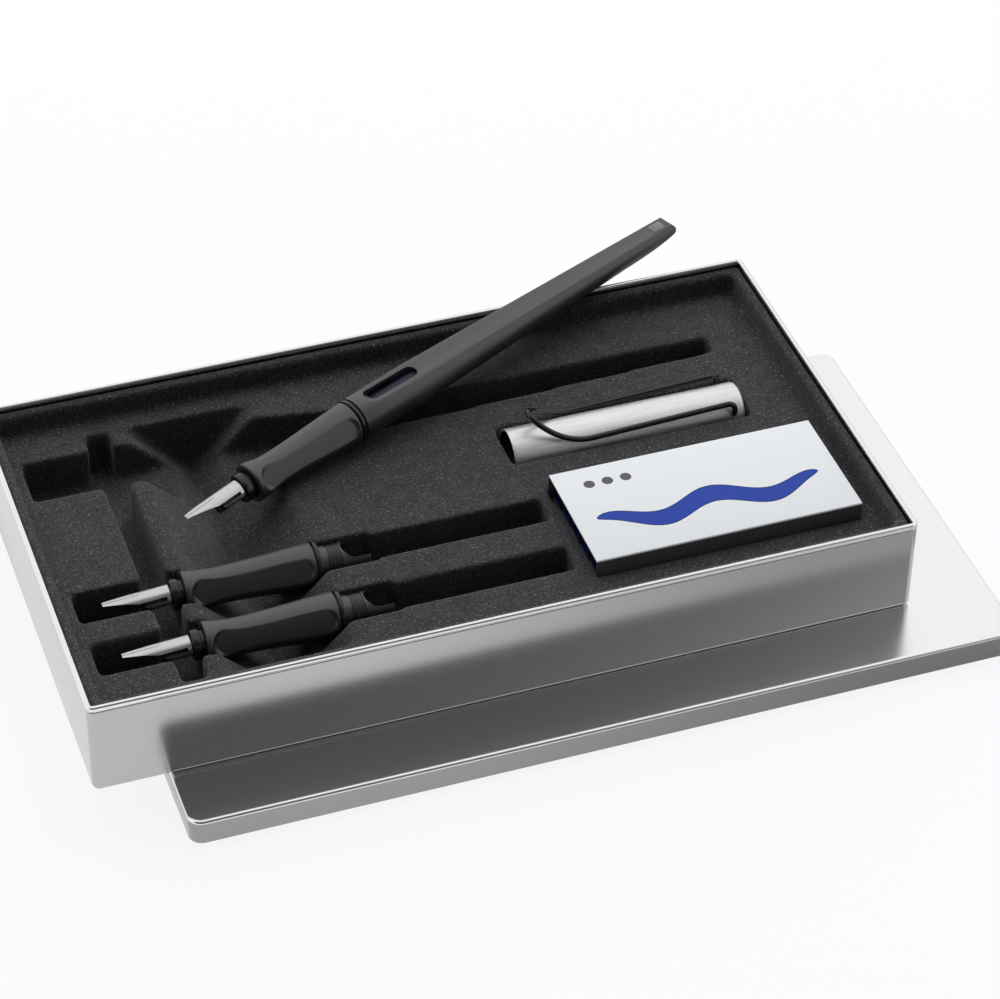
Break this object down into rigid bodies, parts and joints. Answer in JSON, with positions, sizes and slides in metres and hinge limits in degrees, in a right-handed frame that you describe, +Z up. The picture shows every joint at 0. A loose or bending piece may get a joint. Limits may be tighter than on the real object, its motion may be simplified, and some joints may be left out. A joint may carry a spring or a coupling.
{
  "type": "calligraphy set box",
  "caption": "Metal tin standing on its lid, with a moulded foam insert for a pen, spare nib sections, a cap and a carton of ink; the pen lies across the tin",
  "frame": {"origin": "on the table, under the middle of the whole set's footprint, lid and pen included", "axes": "+X along the tray to the right as it is looked into, +Y to the tray's back, +Z up"},
  "size_m": [0.2484, 0.1597, 0.045],
  "materials": {
    "lid_metal": "satin tin-plated sheet, brushed faintly along its length",
    "tray_metal": "satin tin-plated sheet, brushed faintly from top to bottom, polished rim",
    "foam": "matt black moulded foam with a fine soft grain",
    "pen_plastic": "satin black moulded plastic",
    "nib_steel": "polished stainless steel",
    "cap_metal": "smooth satin aluminium",
    "clip_metal": "black glossy coating on spring wire",
    "plate_plastic": "satin grey plastic",
    "ink_plastic": "translucent plastic filled with blue ink",
    "card": "coated white board with a blue printed field"
  },
  "bodies": {
    "lid": {"lid_shell": "lid_metal"},
    "tray": {"tray_shell": "tray_metal"},
    "insert": {"foam_insert": "foam"},
    "pen_ring": {"pen_seal_ring": "pen_plastic"},
    "pen_grip": {"pen_section": "pen_plastic", "pen_feed": "pen_plastic"},
    "pen_point": {"pen_nib": "nib_steel"},
    "pen_ink": {"pen_cartridge": "ink_plastic"},
    "pen_body": {"pen_barrel": "pen_plastic", "pen_end_plate": "plate_plastic"},
    "spare_a": {"spare_a_section": "pen_plastic", "spare_a_feed": "pen_plastic", "spare_a_seal_ring": "pen_plastic"},
    "spare_a_point": {"spare_a_nib": "nib_steel"},
    "spare_b": {"spare_b_section": "pen_plastic", "spare_b_feed": "pen_plastic", "spare_b_seal_ring": "pen_plastic"},
    "spare_b_point": {"spare_b_nib": "nib_steel"},
    "cap": {"cap_tube": "cap_metal", "cap_liner": "pen_plastic", "cap_finial": "pen_plastic"},
    "clip": {"cap_clip": "clip_metal"},
    "carton": {"carton_sleeve": "card", "cartridge_1": "ink_plastic", "cartridge_2": "ink_plastic", "cartridge_3": "ink_plastic", "cartridge_4": "ink_plastic", "cartridge_5": "ink_plastic"}
  },
  "joints": [
    {"name": "tray_lift", "type": "slide", "parent": "lid", "child": "tray", "axis": [0, 0, 1], "range_m": [0, 0.1]},
    {"name": "insert_lift", "type": "slide", "parent": "tray", "child": "insert", "axis": [0, 0, 1], "range_m": [0, 0.05]},
    {"name": "pen_lift", "type": "slide", "parent": "insert", "child": "pen_ring", "axis": [0, 0, 1], "range_m": [0, 0.08]},
    {"name": "section_turn", "type": "hinge", "parent": "pen_ring", "child": "pen_grip", "pos_m": [-0.0279, 0.0289, 0.03491], "axis": [0.9163, 0.3956, 0.0628], "range_deg": [0, 1080]},
    {"name": "barrel_draw", "type": "slide", "parent": "pen_ring", "child": "pen_body", "axis": [0.9163, 0.3956, 0.0628], "range_m": [0, 0.006]},
    {"name": "pen_nib_pull", "type": "slide", "parent": "pen_grip", "child": "pen_point", "axis": [-0.9096, -0.3927, -0.1358], "range_m": [0, 0.006]},
    {"name": "pen_cartridge_pull", "type": "slide", "parent": "pen_grip", "child": "pen_ink", "axis": [0.9163, 0.3956, 0.0628], "range_m": [0, 0.006]},
    {"name": "spare_a_lift", "type": "slide", "parent": "insert", "child": "spare_a", "axis": [0, 0, 1], "range_m": [0, 0.06]},
    {"name": "spare_a_nib_pull", "type": "slide", "parent": "spare_a", "child": "spare_a_point", "axis": [-0.9973, 0, -0.0732], "range_m": [0, 0.006]},
    {"name": "spare_b_lift", "type": "slide", "parent": "insert", "child": "spare_b", "axis": [0, 0, 1], "range_m": [0, 0.06]},
    {"name": "spare_b_nib_pull", "type": "slide", "parent": "spare_b", "child": "spare_b_point", "axis": [-0.9973, 0, -0.0732], "range_m": [0, 0.006]},
    {"name": "cap_lift", "type": "slide", "parent": "insert", "child": "cap", "axis": [0, 0, 1], "range_m": [0, 0.06]},
    {"name": "clip_flex", "type": "hinge", "parent": "cap", "child": "clip", "pos_m": [0.076, 0.01355, 0.02775], "axis": [0, 1, 0], "range_deg": [0, 8], "stiffness_Nm_per_rad": 0.4},
    {"name": "carton_lift", "type": "slide", "parent": "insert", "child": "carton", "axis": [0, 0, 1], "range_m": [0, 0.05]}
  ],
  "couplings": [
    {"joint": "barrel_draw", "follows": "section_turn", "m_per_rad": 0.000318}
  ]
}
